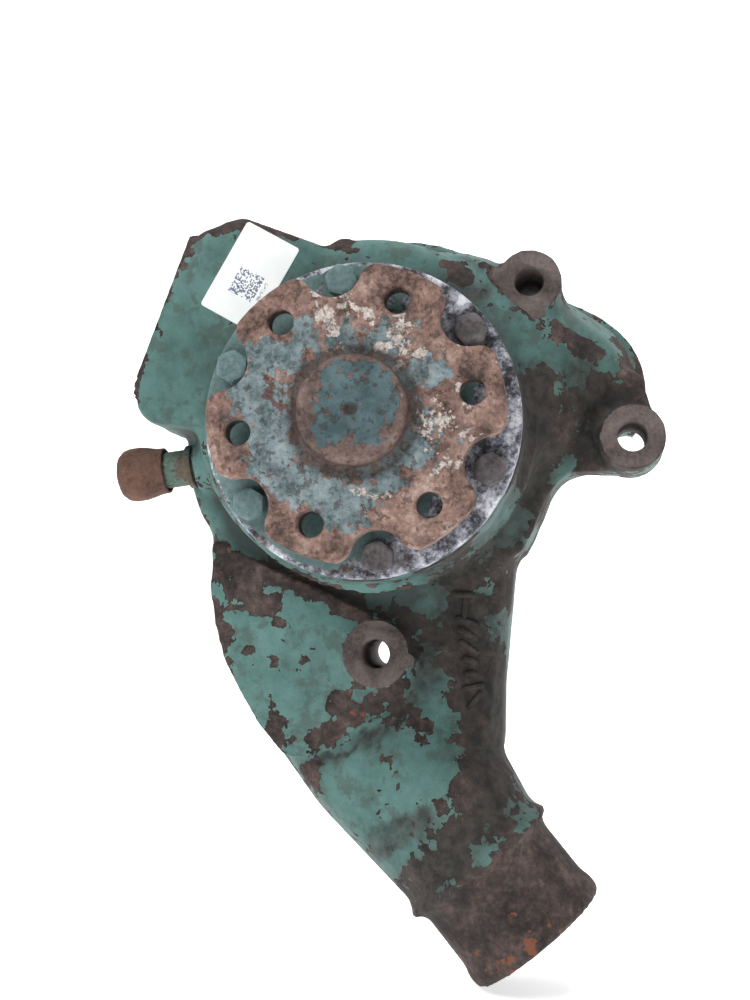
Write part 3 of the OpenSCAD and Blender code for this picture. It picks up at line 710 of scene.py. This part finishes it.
def paint_wear(piece, worn, sheltered, base, scale_edge, rounds, bare=None, film=()):
    mesh = piece.data
    co, pairs = points(mesh), neighbours(mesh)
    front = np.clip((-co[:, 1] - 0.008) / 0.022, 0, 1)  # the lists below describe the front
    wear = base + (nearness(co, worn) * 0.62 - nearness(co, sheltered) * 0.30) * front
    if bare is not None:
        wear = np.maximum(wear, bare(co))
    edge = np.clip(averaged(proud(mesh, rounds), pairs, 1) / scale_edge, 0, 1)
    # grime: the deeper a point lies, the more dirt and painted shade it gets.
    sunk = averaged(np.clip(-proud(mesh, rounds * 7) / (scale_edge * 2.2), 0, 1), pairs, 4)
    for name, values in (("wear", wear), ("edge", edge), ("grime", sunk), ("film", nearness(co, film) * front)):
        paint_number(mesh, name, values)
    print(piece.name, "edge", round(float(edge.mean()), 3), "grime", round(float(sunk.mean()), 3))


def bare_spigot(co):
    """The hose kept paint off the spigot, so it's bare from the hose stop on."""
    along = (co - np.array(spigot_end)) @ np.array(spigot_axis)
    aside = np.linalg.norm((co - np.array(spigot_end)) - along[:, None] * np.array(spigot_axis), axis=1)
    return np.where(aside < 0.043, np.clip((along + 0.046) / 0.004, 0, 1), 0)


paint_wear(casting, BARE, KEPT, 0.27, 0.0005, 3, bare_spigot, FILM_AND_SHADOW)
paint_number(casting.data, "red", nearness(points(casting.data), FRESH_RUST))
casting.data.shade_smooth()
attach(casting, "housing"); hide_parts("pump_housing")

# %% [markdown]
# ## The drive flange and the bearing housing
#
# Both are turned and drilled, so their corners are far crisper than the
# casting's: a finer voxel and only a breath of smoothing. The finer skin
# also gives the wear numbers enough points to follow a hole's chamfer.

# %% Drive flange
def turned_piece(node, name, voxel, smoothing, finish):
    piece = merged_copy(node, name)
    remeshed(piece, voxel)
    lay_fillets(piece, smoothing, 4, depth=0.00006)
    piece.data.materials.append(finish)
    print(name, len(piece.data.polygons), "faces")
    return piece


flange = turned_piece("drive_flange", "flange_plate", 0.00082, 2, flange_steel)
co = points(flange.data)
on_nose = co[:, 1] < -0.1505
plate_paint = [(-45, 24, -42, 6, 9.4), (-42, 6, -32, -26, 10.3), (-38, 26, -27, 24, 5.1), (-7, 31, 15, 29, 5.1),
               (22, 16, 36, 17, 4.6), (-32, -26, -1, -46, 7.6), (4, -36, 28, -14, 5.4), (-21, 35, -23, 29, 4.3)]
nose_paint = [(-5, 9, 7, 8, 12), (-7, -6, 3, -7, 10), (8, 2, 9, -4, 7)]
pale_scale = [(-16, 45, -7, 36, 5.1), (-4, 46, 9, 39, 3.8), (19, 34, 23, 26, 5.0), (9, 26, 17, 20, 2.1),
              (28, 24, 30, 21, 4.2), (31, -2, 44, -8, 6.2), (2, -33, 15, -35, 2.5),
              (34, 4, 30, -14, 4.5), (44, 9, 48, 4, 2.2), (40, -20, 36, -27, 3.4),
              (22, 30, 11, 25, 2.9), (-10, 26, -2, 25, 1.7), (36, -17, 40, -21, 3.3)]
deep_rust = [(-37, 16, -27, -4, 2.1), (-29, 1, -23, -11, 1.7), (17, 7, 19, 0, 3.7)]
left = np.where(on_nose, nearness(co, nose_paint), nearness(co, plate_paint))
inner = np.clip((52 - np.hypot(co[:, 0], co[:, 2]) / MM) / 14, 0, 1) * ~on_nose
for name, values in (("paint", 0.10 + inner * 0.34 + left * (0.86 - inner * 0.34)),
                     ("scale", nearness(co, pale_scale) * ~on_nose),
                     ("red", nearness(co, deep_rust) * ~on_nose)):
    paint_number(flange.data, name, values)
paint_wear(flange, [], [], 0.0, 0.00016, 3)
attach(flange, "rotor"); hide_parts("drive_flange")

# %% Bearing housing
cover = turned_piece("bearing_housing", "bearing_carrier", 0.00098, 1, machined_iron)
rubbed = [(43, 51, 65, 14, 9), (65, 14, 67, -12, 9), (59, -12, 42, -48, 12), (42, -48, 19, -63, 11),
          (-11, -68, 4, -67, 4), (47, 37, 51, 29, 10), (19, -67, -5, -71, 4),
          (20, 66, 40, 52, 7), (52, 38, 62, 20, 7)]
# Grease stains, and dark patches at the three bolts on the right that paint the shadow in the drive flange's
# notches.
greasy_and_shadow = [(20, -60, -4, -62, 4.0), (51, -10, 57, -23, 7.0), (47, -44, 34, -54, 5.9),
          (6, -54, 6, -61, 7.7), (45, 42, 47, 35, 7.7)]
paint_wear(cover, rubbed, [(-64, 30, -60, -20, 22)], 0.30, 0.00018, 3, film=greasy_and_shadow)
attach(cover, "housing"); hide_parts("bearing_housing")

# %% [markdown]
# ## Heater nipple and its cap
#
# A short pipe is screwed into the suction chamber, and a rusty cap closes it.

# %% Pipe and cap
for node, name, finish, slot_name in (("heater_nipple", "nipple_pipe", nipple_rust, "nipple_steel"),
                                      ("nipple_cap", "blanking_cap", cap_rust, "rusty_steel")):
    small = turned_piece(node, name, 0.0005, 2, finish)
    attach(small, "housing"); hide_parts(node)

# %% [markdown]
# ## Six bolts and washers in a ring
#
# Bolts repeat on a circle, so Geometry Nodes place them. The modifier sits on
# one bolt, standing at the origin and pointing forward, and the tree copies
# whatever mesh it is given to the points of a ring. The ring's size, the
# first angle and how far ahead it stands are named inputs, so the same tree
# also sets the washers.

# %% A tree that sets pieces on a ring
def new_tree(name, piece, result, inputs):
    """An empty tree with named inputs, and a function that adds a node to it."""
    tree = bpy.data.node_groups.new(name, "GeometryNodeTree")
    face = tree.interface
    face.new_socket(piece, in_out="INPUT", socket_type="NodeSocketGeometry")
    sockets = {}
    for label, kind in inputs:
        sockets[label] = face.new_socket(label, in_out="INPUT", socket_type=kind).identifier
    face.new_socket(result, in_out="OUTPUT", socket_type="NodeSocketGeometry")

    def add(kind, settings=(), links=(), out=0):
        made = tree.nodes.new(kind)
        for key, value in dict(settings).items():
            setattr(made, key, value)
        for key, value in dict(links).items():
            if isinstance(value, bpy.types.NodeSocket):
                tree.links.new(value, made.inputs[key])
            else:
                made.inputs[key].default_value = value
        return made.outputs[out]

    def end(geometry, finish):
        """Real meshes with a material, because the export drops instances."""
        real = add("GeometryNodeRealizeInstances", links={0: geometry})
        done = add("GeometryNodeSetMaterial", links={"Geometry": real, "Material": finish})
        tree.links.new(done, tree.nodes.new("NodeGroupOutput").inputs[0])
        return tree, sockets

    return tree.nodes.new("NodeGroupInput").outputs, add, end


def through(piece, made, values):
    """Sends a mesh through a tree. Inputs are set by identifier, before the first evaluation."""
    tree, sockets = made
    step = piece.modifiers.new("nodes", "NODES")
    step.node_group = tree
    for name, value in values.items():
        step[sockets[name]] = value
    return applied(piece)


def ring_tree():
    given, add, end = new_tree("set on a ring", "Piece", "Ring", (
        ("Count", "NodeSocketInt"), ("Circle radius", "NodeSocketFloat"), ("First angle", "NodeSocketFloat"),
        ("Ahead", "NodeSocketFloat"), ("Finish", "NodeSocketMaterial")))

    def sum_of(operation, *values):
        return add("ShaderNodeMath", {"operation": operation}, dict(enumerate(values)))

    spots = add("GeometryNodePoints", links={"Count": given["Count"]})
    step = sum_of("DIVIDE", 2 * math.pi, given["Count"])
    angle = sum_of("ADD", given["First angle"], sum_of("MULTIPLY", add("GeometryNodeInputIndex"), step))
    place = add("ShaderNodeCombineXYZ", links={
        0: sum_of("MULTIPLY", given["Circle radius"], sum_of("COSINE", angle)),
        1: sum_of("MULTIPLY", given["Ahead"], -1.0),
        2: sum_of("MULTIPLY", given["Circle radius"], sum_of("SINE", angle))})
    placed = add("GeometryNodeSetPosition", links={"Geometry": spots, "Position": place})
    turn_by = add("FunctionNodeRandomValue", {"data_type": "FLOAT"}, {2: 0.0, 3: 2 * math.pi, "Seed": 4}, 1)
    copies = add("GeometryNodeInstanceOnPoints", links={
        "Points": placed, "Instance": given["Piece"],
        "Rotation": add("ShaderNodeCombineXYZ", links={1: turn_by})})
    return end(copies, given["Finish"])


RING = ring_tree()
print("ring inputs:", sorted(RING[1]))

# %% One bolt and one washer, turned from a profile
def lathe(name, profile, sides, radius_at=None, height_at=None):
    """Turns (radius, ahead) pairs round the y axis. The two functions may change a point by its angle."""
    verts, faces = [], []
    for i in range(sides):
        t = 2 * math.pi * i / sides
        for k, (r, h) in enumerate(profile):
            r = radius_at(k, r, t) if radius_at else r
            h = height_at(k, r, h) if height_at else h
            verts.append((r * math.cos(t), -h, r * math.sin(t)))
    n = len(profile)
    for i in range(sides):
        j = (i + 1) % sides
        faces += [(i * n + k, i * n + k + 1, j * n + k + 1, j * n + k) for k in range(n - 1)]
    piece = make_object(name, verts, faces)
    close_up = piece.modifiers.new("join", "WELD")
    close_up.merge_threshold = 1e-7
    return applied(piece)


def right_side_out(piece):
    bm = bmesh.new()
    bm.from_mesh(piece.data)
    bmesh.ops.remove_doubles(bm, verts=bm.verts, dist=1e-6)
    bmesh.ops.recalc_face_normals(bm, faces=bm.faces)
    bm.to_mesh(piece.data)
    bm.free()
    return piece


FLAT = 0.0065  # half the distance across the head's flats
HEAD_BACK, HEAD_FRONT = 0.1297, 0.1350


def hexagon(k, r, t):
    """Points beyond the chamfer follow the head's six flats, with slightly rounded corners."""
    if r < FLAT * 0.90:
        return r
    off = (t + math.pi / 6) % (math.pi / 3) - math.pi / 6
    return r / FLAT * min(FLAT / math.cos(off), FLAT * 1.128)


def chamfered(k, r, h):
    """The head's corners slope down where a chamfer was turned on it."""
    return h - max(0.0, r - FLAT * 0.97) * 0.62 if h > HEAD_FRONT - 0.0009 else h


head = [(0.0, HEAD_FRONT - 0.00035), (0.0022, HEAD_FRONT - 0.00034), (0.0036, HEAD_FRONT - 0.0003),
        (0.0043, HEAD_FRONT - 0.00008), (0.0049, HEAD_FRONT), (0.0056, HEAD_FRONT),
        (FLAT * 0.955, HEAD_FRONT - 0.0001),
        (FLAT * 0.995, HEAD_FRONT - 0.00035), (FLAT, HEAD_FRONT - 0.0008), (FLAT, HEAD_FRONT - 0.0014),
        (FLAT, (HEAD_FRONT + HEAD_BACK) / 2), (FLAT, HEAD_BACK + 0.0004), (FLAT * 0.985, HEAD_BACK),
        (0.0041, HEAD_BACK), (0.0040, HEAD_BACK - 0.0002), (0.0040, 0.0985), (0.0034, 0.0980), (0.0, 0.0980)]
bolts = right_side_out(lathe("cover_bolt_ring", head, 72, hexagon, chamfered))
washer = [(0.0043, 0.1277), (0.0046, 0.1275), (0.0063, 0.1275), (0.0066, 0.1278), (0.0066, 0.1294),
          (0.0063, 0.1297), (0.0046, 0.1297), (0.0043, 0.1295), (0.0043, 0.1277)]
washers = right_side_out(lathe("cover_washer_ring", washer, 48))


# %% [markdown]
# ## Raised marks on the duct
#
# Foundries cast a row of raised marks into the skin. These are plain bars of
# a generic kind. A Geometry Nodes tree lays them out in a row and drops each
# one onto the casting with Raycast, so they follow its curved surface.

# %% A tree that drops pieces onto a surface along a line
def mark_tree():
    given, add, end = new_tree("drop marks on a surface", "Mark", "Marks", (
        ("Count", "NodeSocketInt"), ("Start", "NodeSocketVector"), ("Step", "NodeSocketVector"),
        ("Surface", "NodeSocketObject"), ("Finish", "NodeSocketMaterial")))
    row = add("GeometryNodePoints", links={"Count": given["Count"]})
    along = add("ShaderNodeVectorMath", {"operation": "SCALE"},
                {0: given["Step"], "Scale": add("GeometryNodeInputIndex")})
    place = add("ShaderNodeVectorMath", {"operation": "ADD"}, {0: given["Start"], 1: along})
    row = add("GeometryNodeSetPosition", links={"Geometry": row, "Position": place})
    target = add("GeometryNodeObjectInfo", {"transform_space": "RELATIVE"},
                 {"Object": given["Surface"]}, "Geometry")
    hit = add("GeometryNodeRaycast", links={"Target Geometry": target, "Ray Direction": (0, 1, 0),
                                            "Ray Length": 0.3}, out="Hit Position").node.outputs
    row = add("GeometryNodeSetPosition", links={"Geometry": row, "Position": hit["Hit Position"]})
    upright = add("FunctionNodeAlignRotationToVector", {"axis": "Y"}, {"Vector": hit["Hit Normal"]})
    lean = add("FunctionNodeRandomValue", {"data_type": "FLOAT"}, {2: -0.5, 3: 0.5, "Seed": 11}, 1)
    size = add("FunctionNodeRandomValue", {"data_type": "FLOAT"}, {2: 0.75, 3: 1.15, "Seed": 3}, 1)
    stretch = add("ShaderNodeCombineXYZ", links={0: size, 1: 1.0, 2: 1.0})
    marks = add("GeometryNodeInstanceOnPoints", links={
        "Points": row, "Instance": given["Mark"], "Rotation": upright, "Scale": stretch})
    marks = add("GeometryNodeRotateInstances", links={
        "Instances": marks, "Rotation": add("ShaderNodeCombineXYZ", links={1: lean})})
    return end(marks, given["Finish"])


def raised_mark(name, length=0.0100, width=0.0025, height=0.0014, sunk=0.0012, ends=9):
    """A low bar with round ends and softened shoulders, lying along x and standing along +y."""
    outline = [(side * (length - width) / 2 + width / 2 * math.cos(t), width / 2 * math.sin(t))
               for side, first_t in ((1, -math.pi / 2), (-1, math.pi / 2))
               for t in (first_t + math.pi * k / (ends - 1) for k in range(ends))]
    levels = [(1.25, -sunk), (1.18, 0.0), (1.0, height * 0.62), (0.80, height * 0.93), (0.55, height)]
    verts = []
    for grow, y in levels:
        for x, z in outline:
            side = math.copysign((length - width) / 2, x)
            verts.append((side + (x - side) * grow, y, z * grow))
    n = len(outline)
    faces = [(k * n + i, k * n + (i + 1) % n, (k + 1) * n + (i + 1) % n, (k + 1) * n + i)
             for k in range(len(levels) - 1) for i in range(n)]
    faces += [tuple(range(n))[::-1], tuple(range((len(levels) - 1) * n, len(levels) * n))]
    return right_side_out(make_object(name, verts, faces))


cast_marks = raised_mark("cast_marks")
FIRST_MARK, MARK_STEP = (0.0385, -0.2, -0.074), (0.0006, 0, -0.0062)
through(cast_marks, mark_tree(), {"Count": 9, "Start": FIRST_MARK, "Step": MARK_STEP,
                                  "Surface": casting, "Finish": paint})
paint_wear(cast_marks, [], [], 0.80, 0.0005, 1, film=[(40, -80, 48, -120, 12)])
cast_marks.data.shade_smooth()
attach(cast_marks, "housing")
print("marks", len(cast_marks.data.polygons), "faces, box", [round(c, 4) for c in cast_marks.bound_box[0]],
      [round(c, 4) for c in cast_marks.bound_box[6]])

# %% Their finishes: painted on the upper left, bare and oily elsewhere
def bolt_finish(name, bare_dark, bare_light):
    f = Finish(name)
    apart = f.node("ShaderNodeSeparateXYZ", sockets={0: f.place})
    x, z = apart, Wire(f, apart.socket.node.outputs[2])
    blotch, fine = f.noise(0.004, 6, 0.66, 3.0), f.noise(0.0012, 6, 0.7, 8.0)
    bare = f.ramp(blotch * 0.6 + fine * 0.4, (0.36, bare_dark), (0.64, bare_light))
    rim = f.noise(0.002, 6, 0.7, 5.0).above(0.62, 0.06)
    bare = f.mix(rim * 0.5, bare, (0.200, 0.120, 0.085))
    side = (z * 0.25 - x) * 40.0 + (f.noise(0.006, 7, 0.65, 6.0) - 0.5) * 2.2
    painted = side.above(0.10, 0.12)
    green = f.ramp(blotch * 0.5 + fine * 0.5, (0.36, (0.080, 0.140, 0.140)), (0.50, (0.140, 0.225, 0.228)),
                   (0.64, (0.215, 0.305, 0.310)))
    return f.close(f.mix(painted, bare, green), 0.66 - painted * 0.12 + (fine - 0.5) * 0.3,
                   fine * 0.00018 + painted * 0.0001)


bolt_steel = bolt_finish("bolt_steel", (0.034, 0.032, 0.034), (0.190, 0.172, 0.176))
washer_steel = bolt_finish("washer_steel", (0.050, 0.045, 0.045), (0.160, 0.140, 0.135))
for piece, steel in ((bolts, bolt_steel), (washers, washer_steel)):
    through(piece, RING, {"Count": 6, "Circle radius": BOLT_CIRCLE, "First angle": FIRST_BOLT,
                          "Ahead": 0.0, "Finish": steel})
for piece, node, slot_name in ((bolts, "cover_bolts", "bolt_steel"), (washers, "cover_washers", "washer_steel")):
    piece.data.shade_smooth()
    piece.data.set_sharp_from_angle(angle=math.radians(38))
    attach(piece, "housing"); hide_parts(node)
    print(piece.name, len(piece.data.polygons), "faces, box", [round(c, 4) for c in piece.bound_box[0]],
          [round(c, 4) for c in piece.bound_box[6]])

# %% [markdown]
# ## Finishes for what stays as CAD
#
# Shapes that are right already keep their CAD mesh and only get a material:
# the seal, the bearings, the impeller and the label. Each still has its own
# grain, because an even colour looks like plastic.

# %% Turned steel, bronze, rubber, fibre, carbon and ceramic
def plain_finish(name, dark, light, size, rough, metal, bump):
    f = Finish(name)
    cloud, fine = f.noise(size, 5, 0.6, 1.0), f.noise(size * 0.16, 4, 0.65, 2.0)
    colour = f.ramp(cloud * 0.6 + fine * 0.4, (0.36, dark), (0.64, light))
    return f.close(colour, rough + (fine - 0.5) * 0.3, fine * bump, metal=metal)


def label_finish():
    f = Finish("label_film")
    flat = f.node("ShaderNodeMapping", {"vector_type": "TEXTURE"}, {
        "Vector": f.place, "Location": (-0.0595, 0, 0.1007), "Rotation": (0, math.radians(30), 0)})
    cell = f.node("ShaderNodeVectorMath", {"operation": "SCALE"}, {0: flat, "Scale": 1 / 0.00062})
    cell = f.node("ShaderNodeVectorMath", {"operation": "FLOOR"}, {0: cell})
    spot = f.node("ShaderNodeTexWhiteNoise", {"noise_dimensions": "3D"}, {"Vector": cell}).above(0.55, 0.01)
    apart = f.node("ShaderNodeSeparateXYZ", sockets={0: flat})
    along, down = apart, Wire(f, apart.socket.node.outputs[2])

    def between(value, low, high):
        return value.above(low, 0.0001) * (1 - value.above(high, 0.0001))

    block = between(along, 0.0082, 0.0212) * between(down, -0.0330, -0.0200)
    dash = between(along, 0.0225, 0.0240) * between(down, -0.0310, -0.0215)
    ink = spot * block + spot * dash * 0.7
    wash = f.noise(0.012, 4, 0.6, 3.0)
    paper = f.ramp(wash, (0.35, (0.900, 0.925, 0.915)), (0.65, (0.985, 0.990, 0.985)))
    smear = 0.75 + f.noise(0.002, 4, 0.6, 4.0) * 0.3
    return f.close(f.mix((ink * smear).clipped(), paper, (0.105, 0.125, 0.230)), 0.42 + wash * 0.1,
                   f.noise(0.004, 3, 0.5, 5.0) * 0.00006)


PLAIN = {
    "core_plug": ("plug_steel", (0.12, 0.09, 0.075), (0.26, 0.21, 0.18), 0.008, 0.6, 0.3, 0.0001),
    "wear_ring": ("bronze_ring", (0.30, 0.17, 0.07), (0.48, 0.30, 0.13), 0.006, 0.38, 0.9, 0.00003),
    "delivery_seal": ("seal_rubber", (0.012, 0.012, 0.012), (0.034, 0.034, 0.033), 0.004, 0.72, 0.0, 0.00005),
    "grease_seal": ("seal_lip_rubber", (0.014, 0.013, 0.012), (0.040, 0.036, 0.033), 0.005, 0.7, 0.0, 0.00005),
    "slinger": ("slinger_rubber", (0.014, 0.014, 0.014), (0.036, 0.035, 0.034), 0.004, 0.7, 0.0, 0.00005),
    "seal_bellows": ("bellows_rubber", (0.012, 0.012, 0.013), (0.034, 0.034, 0.036), 0.004, 0.6, 0.0, 0.00005),
    "bearing_housing_gasket": ("gasket_fibre", (0.10, 0.085, 0.065), (0.23, 0.20, 0.16), 0.003, 0.9, 0.0, 0.0001),
    "circlip": ("spring_steel", (0.10, 0.10, 0.11), (0.24, 0.24, 0.26), 0.005, 0.4, 0.9, 0.00003),
    "seal_spring": ("coil_steel", (0.30, 0.30, 0.31), (0.52, 0.52, 0.54), 0.003, 0.3, 1.0, 0.00002),
    "seal_shell": ("seal_brass", (0.40, 0.27, 0.10), (0.60, 0.43, 0.18), 0.005, 0.34, 0.95, 0.00003),
    "seal_carbon": ("carbon", (0.020, 0.021, 0.023), (0.055, 0.056, 0.060), 0.003, 0.45, 0.1, 0.00003),
    "seal_seat": ("seat_ceramic", (0.62, 0.60, 0.54), (0.80, 0.78, 0.72), 0.006, 0.3, 0.0, 0.00002),
    "impeller": ("impeller_iron", (0.070, 0.052, 0.044), (0.200, 0.140, 0.110), 0.009, 0.8, 0.1, 0.0003),
    "impeller_nut": ("nut_steel", (0.13, 0.11, 0.10), (0.28, 0.25, 0.23), 0.004, 0.5, 0.6, 0.0001),
    "shaft": ("shaft_steel", (0.30, 0.30, 0.31), (0.50, 0.50, 0.52), 0.004, 0.32, 1.0, 0.00003),
}
for nodes, row in (
        (("outer_spacer", "inner_spacer"),
         ("spacer_steel", (0.26, 0.26, 0.27), (0.44, 0.44, 0.46), 0.005, 0.4, 0.95, 0.00003)),
        (("front_outer_race", "rear_outer_race", "front_inner_race", "rear_inner_race"),
         ("race_steel", (0.40, 0.40, 0.42), (0.60, 0.60, 0.62), 0.004, 0.22, 1.0, 0.00001)),
        (("front_balls", "rear_balls"),
         ("ball_steel", (0.52, 0.52, 0.54), (0.70, 0.70, 0.72), 0.003, 0.12, 1.0, 0.000005)),
        (("front_cage", "rear_cage"),
         ("cage_brass", (0.38, 0.26, 0.11), (0.56, 0.41, 0.19), 0.004, 0.4, 0.9, 0.00003))):
    PLAIN.update({node: row for node in nodes})
made = {row[0]: plain_finish(*row) for row in dict.fromkeys(PLAIN.values())}
finishes = {node: made[row[0]] for node, row in PLAIN.items()}
finishes["label"] = label_finish()
for node, finish in finishes.items():
    frame["nodes"][node].data.materials.clear()
    frame["nodes"][node].data.materials.append(finish)
print(len(PLAIN) + 1, "CAD nodes refinished with", len(made) + 1, "materials")

# %% [markdown]
# ## The stage
#
# A pale floor that curves up into a backdrop has no visible horizon. Large
# area lights give the soft light of a studio: one high on the left as the
# key, a weak one on the right to open the shadows, a small one above, and a
# dim world for the rest. The paper glows a little, so that it stays white.

# %% Floor and backdrop
floor_z = cad_box[0][2] - 0.0006
bend, half_width, back = 0.5, 3.0, 0.9
profile = [(-2.4, floor_z), (back - bend, floor_z)]
profile += [(back - bend + bend * math.sin(a), floor_z + bend - bend * math.cos(a))
            for a in np.linspace(0.1, math.pi / 2, 14)]
profile += [(back, floor_z + 3.0)]
sweep_verts = [(side * half_width, y, z) for side in (-1, 1) for y, z in profile]
n = len(profile)
sweep = make_object("studio_sweep", sweep_verts, [(k, k + 1, n + k + 1, n + k) for k in range(n - 1)])
sweep.data.shade_smooth()
f = Finish("studio_paper")
tone = f.noise(0.5, 3, 0.5, 1.0)
paper = f.close(f.ramp(tone, (0.3, (0.90, 0.90, 0.90)), (0.7, (0.93, 0.93, 0.93))), 0.9)
glow = paper.node_tree.nodes["Principled BSDF"].inputs
glow["Emission Color"].default_value, glow["Emission Strength"].default_value = (1, 1, 1, 1), 0.62
sweep.data.materials.append(paper)


# %% Lights
def softbox(name, place, target, size, power, tint=(1, 1, 1)):
    lamp = bpy.data.lights.new(name, "AREA")
    lamp.shape, lamp.size, lamp.size_y = "RECTANGLE", *size
    lamp.energy, lamp.color = power, tint
    holder = bpy.data.objects.new(name, lamp)
    holder.location = place
    holder.rotation_euler = (Vector(target) - Vector(place)).to_track_quat("-Z", "Y").to_euler()
    bpy.context.scene.collection.objects.link(holder)
    return holder


middle = Vector((0, -0.06, -0.07))
softbox("key", (-0.75, -1.25, 1.15), middle, (0.8, 0.8), 21.5)
softbox("fill", (1.25, -1.15, 0.25), middle, (0.8, 1.0), 3.5, (0.97, 0.98, 1.0))
softbox("top", (0.35, -0.1, 1.35), middle, (0.7, 0.5), 9)
world = bpy.data.worlds.new("pale world")
bpy.context.scene.world = world
world.use_nodes = True
world.node_tree.nodes["Background"].inputs[0].default_value = (1, 1, 1, 1)
world.node_tree.nodes["Background"].inputs[1].default_value = 0.11
bpy.context.scene.view_settings.view_transform = "Standard"
print("lights set")

# %% [markdown]
# ## Sizes, and the end
#
# The CAD model's box is printed. The visual model must stay in the CAD
# model's box.

# %% Print the CAD box
print("CAD box   ", [[round(c, 4) for c in corner] for corner in cad_box])
